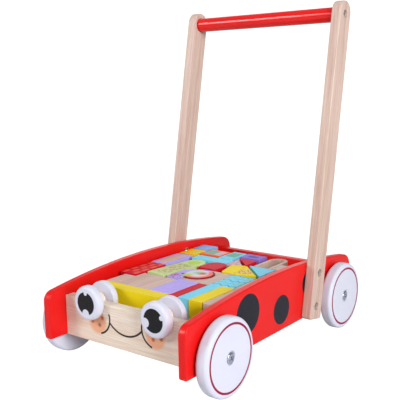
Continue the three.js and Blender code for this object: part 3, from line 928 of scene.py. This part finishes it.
# Soft round patches on the clock, from the lowest: colour, place from the dial's
# centre, radius, softness, strength
CLOCK_CORNER_PATCHES = ((PINK, (-28, -23), 9, 4.0, 0.75),)
CLOCK_FACE_PATCHES = (
    (PURPLE, (-2, 22), 5, 3.0, 0.8),
    (PAPER, (0, 0), 18.5, 0.6, 1.0),
    (LEAF, (-10, -13), 7, 4.0, 0.9),
    (MINT, (-4, 4), 6, 5.0, 0.9),
    (LIME, (-5, 13), 5, 4.0, 1.0),
    (shade(SALMON, 0.6), (5, 4), 6, 4.0, 1.0),
    (INK, (-19.5, -11.5), 2.6, 0.8, 1.0),
)


def clock_patches(shader, base, patches):
    for tone, (du, dv), radius, soft, strength in patches:
        mark = shader.disc(CLOCK_CENTRE[0] + du, CLOCK_CENTRE[1] + dv, radius, soft)
        base = shader.tint(base, tone, on_top(shader, "block_clock", mark), strength)
    return base


def clock_print(shader, base):
    """A dial with a pale face, a salmon rim and a dark crimson rim on two sides, and a spotted corner;
    the dark crimson rim is painted shade for the raised dial's shaded edge.
    """
    node, (u, v) = "block_clock", CLOCK_CENTRE
    across = shader.math("MULTIPLY_ADD", shader.v, -0.5, shader.u)
    rim_half = shader.over(across, u - 0.5 * v + 1, 2.0)
    base = clock_patches(shader, base, CLOCK_CORNER_PATCHES)
    corner = on_top(shader, node, shader.disc(u - 15, v - 27, 13, 2.0))
    base = shader.mix(base, INK, shader.both(corner, shader.dots(6.0, 1.2)))
    base = clock_patches(shader, base, CLOCK_FACE_PATCHES)
    rim = on_top(shader, node, shader.ring(u, v, 18.2, 6.4))
    base = shader.mix(base, SALMON, shader.both(rim, rim_half))
    # A dark crimson line on the near half of the rim: painted shade for the raised dial's shaded side
    away = shader.distance(u, v)
    outer = shader.both(shader.over(away, 21.2), shader.under(away, 24.5))
    return shader.mix(base, shade(CRIMSON, 0.45), shader.both(outer, rim_half))


def window_print(shader, base):
    """A green panel and a rose panel, side by side."""
    green = panel_on(shader, "block_orange_brick", (3, 15, 4, 3), 0.8)
    rose = panel_on(shader, "block_orange_brick", (22, 3, 4, 3), 0.8)
    return shader.mix(shader.mix(base, shade(MINT, 0.8), green), ROSE, rose)


def plain_panel_print(node, tone, insets):
    """A plain panel on the top of a block."""
    def prints(shader, base):
        return shader.mix(base, tone, panel_on(shader, node, insets))
    return prints


def wave_print(shader, base):
    """Waves in a deeper blue and in mint, by turns."""
    node, pitch = "block_blue_tiles", 12
    first = box_mm(node)[0].y + 4
    for index in range(5):
        tone = MINT if index % 2 else shade(BLUE, 0.55)
        band = on_top(shader, node, shader.wave(first + index * pitch, 2.6, 2.2, 13))
        base = shader.mix(base, tone, band)
    return base


def speckle_print(shader, base):
    """A patch of tan dots, inside a plain border."""
    inside = on_top(shader, "block_yellow_wedge", shader.disc(49.5, 19.5, 13.5, 4.0))
    base = shader.tint(base, TAN, inside, 0.45)
    return shader.mix(base, shade(ORANGE, 0.55), shader.both(inside, shader.dots(5.0, 1.2)))


def rose_print(shader, base):
    """Darker dots all over the upper face."""
    dots = on_top(shader, "block_pink_triangle", shader.dots(5.5, 1.2))
    return shader.mix(base, shade(ROSE, 0.45), dots)


# Block -> slot, colour
PAINTED_BLOCKS = {
    "yellow_bar": ("yellow_paint", YELLOW),
    "crimson_bar": ("crimson_paint", CRIMSON),
    "blue_bar": ("light_blue_paint", BLUE),
    "yellow_brick": ("yellow_paint", YELLOW),
    "clock": ("lavender_paint", LAVENDER),
    "lime_sign": ("lime_paint", LIME),
    "crimson_brick": ("crimson_paint", CRIMSON),
    "lavender_brick": ("lavender_paint", LAVENDER),
    "blue_brick": ("light_blue_paint", BLUE),
    "amber_brick": ("yellow_paint", AMBER),
    "periwinkle_brick": ("periwinkle_paint", PERIWINKLE),
    "orange_brick": ("orange_paint", ORANGE),
    "cyan_brick": ("light_blue_paint", BLUE),
    "crimson_arch": ("crimson_paint", CRIMSON),
    "blue_wedge": ("light_blue_paint", BLUE),
    "purple_brick": ("purple_paint", PURPLE),
    "crimson_triangle": ("crimson_paint", CRIMSON),
    "pink_triangle": ("pink_paint", ROSE),
}
NATURAL_BLOCKS = ("natural_bridge", "natural_arch", "natural_square")
PRINTS = {
    "crimson_brick": brick_print,
    "lavender_brick": rose_panel_print,
    "lime_sign": leaf_print,
    "clock": clock_print,
    "orange_brick": window_print,
    "pink_triangle": rose_print,
    "cyan_brick": plain_panel_print("block_cyan_brick", shade(MINT, 0.75), (3, 3, 14, 6)),
    "purple_brick": plain_panel_print("block_purple_brick", NAVY, (9, 9, 5.5, 7.5)),
    "amber_brick": plain_panel_print("block_amber_brick", LEAF, (20.5, 2, 6, 5)),
}

# CAD blocks that stand for several: name -> slot, colour, print, and each block's
# lowest and highest x and y
SPLIT_BLOCKS = {
    "planks": ("block_wood", None, None, (
        (-92, -72.4, -125.5, -81.5), (-72, -52, -125.5, -62), (-51.6, -31.8, -125.5, -62),
        (-31.4, -8, -125.5, -62))),
    "natural_bricks": ("block_wood", None, None, (
        (87.5, 104.5, -131, -57.4), (84, 104.5, -57, 8))),
    "lavender_bars": ("lavender_paint", LAVENDER, None, (
        (-7, 10.5, -125.5, -61.5), (10.9, 28.5, -125.5, -61.5))),
    "blue_tiles": ("light_blue_paint", BLUE, wave_print, (
        (45.5, 63.8, -57, -2), (64.2, 82.5, -57, -2))),
}
# The two blocks that share the yellow wedge, as corners in plan
WEDGE_BRICK = ((19, 4), (41.4, 2.1), (31.4, 48.9), (10.5, 41))
WEDGE_TRIANGLE = ((42, 2.2), (76, 9.5), (32.5, 49.5))


def block_material(name, place, slot, tone, seed, prints):
    """Lacquered wood for the slot of plain blocks, and matt paint for the others."""
    if slot == "block_wood":
        return lacquered_wood(f"block_wood_{name}", PLAN_TURNED, BEECH, BEECH_DARK, seed)
    return painted(f"block_paint_{name}", place, tone, seed, prints, roughness=0.5, coat=0.0, shine=0.14)


def make_blocks():
    for index, (name, (slot, tone)) in enumerate(PAINTED_BLOCKS.items()):
        place = SIGN_PLACE if name == "lime_sign" else PLAN
        material = block_material(name, place, slot, tone, 1.3 * index, PRINTS.get(name))
        dress(f"block_{name}", material, BLOCK_EDGE)
    for index, name in enumerate(NATURAL_BLOCKS):
        material = block_material(name, PLAN, "block_wood", None, 3.7 * index + 1, None)
        dress(f"block_{name}", material, BLOCK_EDGE)
    for name, (slot, tone, prints, extents) in SPLIT_BLOCKS.items():
        for index, (x0, x1, y0, y1) in enumerate(extents):
            corners = [(x0, y0), (x1, y0), (x1, y1), (x0, y1)]
            make_share(name, index + 1, corners, slot, tone, prints)
    make_share("yellow_wedge", 1, WEDGE_BRICK, "yellow_paint", YELLOW, None)
    make_share("yellow_wedge", 2, WEDGE_TRIANGLE, "yellow_paint", YELLOW, speckle_print)


def make_share(name, index, corners, slot, tone, prints):
    """One of the blocks that share a CAD node, as its own piece."""
    node = f"block_{name}"
    low, high = box_mm(node)
    place = placed(Z * low.z, X, Y, Z)
    seed = 7.7 * index + corners[0][0] * 0.1
    material = block_material(f"{name}_{index}", PLAN, slot, tone, seed, prints)
    shape = board(softened(corners, BLOCK_CORNER), high.z - low.z, BLOCK_EDGE)
    piece(f"{name}_{index}", shape, place, node, material, [node])


# -------------------------------------------------------------- surroundings
FLOOR_SIZE = 6.0  # metres, from the middle to each side
WHITE_LEVEL, AMBIENT_LEVEL = 1.1, 0.30
LIGHT_TARGET = Vector((0, 0, 0.15))
# Softboxes: name, place and diameter in metres, and what each adds to a white surface
SOFTBOXES = (
    ("left", Vector((-1.45, -1.85, 1.2)), 0.8, 0.36),
    ("right", Vector((2.3, -0.9, 1.05)), 1.2, 0.78),
    ("top", Vector((0.0, -0.3, 2.4)), 1.4, 0.14),
    ("back", Vector((-1.5, 1.9, 0.8)), 1.6, 0.10),
)
CAMERA_PLACE = Vector((0.6031, -0.7961, 0.3747))  # metres
CAMERA_AZIMUTH, CAMERA_ELEVATION, CAMERA_ROLL = (math.radians(a) for a in (37.85, 9.48, -1.01))
SENSOR_WIDTH, FOCAL_LENGTH = 36, 63.02  # millimetres


def white_to_camera(tree, lit, white, surface):
    """Shows the camera the white shader, and everything else the lit one."""
    mix = tree.nodes.new("ShaderNodeMixShader")
    seen = tree.nodes.new("ShaderNodeLightPath").outputs["Is Camera Ray"]
    tree.links.new(seen, mix.inputs[0])
    tree.links.new(lit.outputs[0], mix.inputs[1])
    tree.links.new(white.outputs[0], mix.inputs[2])
    tree.links.new(mix.outputs[0], surface)


def make_floor():
    """A pale floor, which the camera sees as white as the backdrop."""
    mesh = bpy.data.meshes.new("studio_floor")
    size = FLOOR_SIZE
    mesh.from_pydata([(-size, -size, 0), (size, -size, 0), (size, size, 0), (-size, size, 0)],
                     [], [(0, 1, 2, 3)])
    shader = Shader("pale_floor", PLAN, roughness=0.9, Specular_IOR_Level=0.0)
    soft = shader.noise(0.002, 0.002, 0.002)
    material = shader.finish(shader.mix((0.66, 0.66, 0.68, 1), (0.72, 0.72, 0.73, 1), soft))
    white = shader.tree.nodes.new("ShaderNodeEmission")
    white.inputs["Strength"].default_value = WHITE_LEVEL
    surface = shader.tree.nodes["Material Output"].inputs["Surface"]
    white_to_camera(shader.tree, shader.bsdf, white, surface)
    mesh.materials.append(material)
    linked("studio_floor", mesh)


def make_backdrop():
    """A white world, dimmer as a light than as a background."""
    world = bpy.data.worlds.new("studio")
    bpy.context.scene.world = world
    world.use_nodes = True
    tree = world.node_tree
    ambient, backdrop = tree.nodes["Background"], tree.nodes.new("ShaderNodeBackground")
    for shader, level in ((ambient, AMBIENT_LEVEL), (backdrop, WHITE_LEVEL)):
        shader.inputs["Color"].default_value = (1.0, 1.0, 1.0, 1.0)
        shader.inputs["Strength"].default_value = level
    white_to_camera(tree, ambient, backdrop, tree.nodes["World Output"].inputs["Surface"])


def make_lights():
    """Round softboxes aimed at the object."""
    for name, location, size, level in SOFTBOXES:
        away = location - LIGHT_TARGET
        light = bpy.data.lights.new(name, "AREA")
        light.shape, light.size = "DISK", size
        light.energy = level * math.pi ** 2 * away.length_squared
        lamp = linked(name, light)
        lamp.location = location
        lamp.rotation_euler = (-away).to_track_quat("-Z", "Y").to_euler()
    bpy.context.scene.view_settings.view_transform = "Standard"


def make_camera():
    """The eye is beyond the walker's front right corner, and looks slightly down."""
    azimuth, elevation, roll = CAMERA_AZIMUTH, CAMERA_ELEVATION, CAMERA_ROLL
    right = Vector((math.cos(azimuth), math.sin(azimuth), 0))
    forward = Vector((-math.sin(azimuth) * math.cos(elevation),
                      math.cos(azimuth) * math.cos(elevation), -math.sin(elevation)))
    up = right.cross(forward)
    right_rolled = right * math.cos(roll) + up * math.sin(roll)
    up_rolled = up * math.cos(roll) - right * math.sin(roll)
    data = bpy.data.cameras.new("camera")
    data.sensor_width, data.lens = SENSOR_WIDTH, FOCAL_LENGTH
    rotation = Matrix((right_rolled, up_rolled, -forward)).transposed().to_4x4()
    camera = linked("camera", data)
    camera.matrix_world = Matrix.Translation(CAMERA_PLACE) @ rotation
    bpy.context.scene.camera = camera


make_side_panels()
make_front_panel()
make_back_panel()
make_floor_panel()
make_wheels()
make_posts()
make_grip()
make_eyes()
make_blocks()
make_floor()
make_backdrop()
make_lights()
make_camera()

bpy.context.view_layer.update()
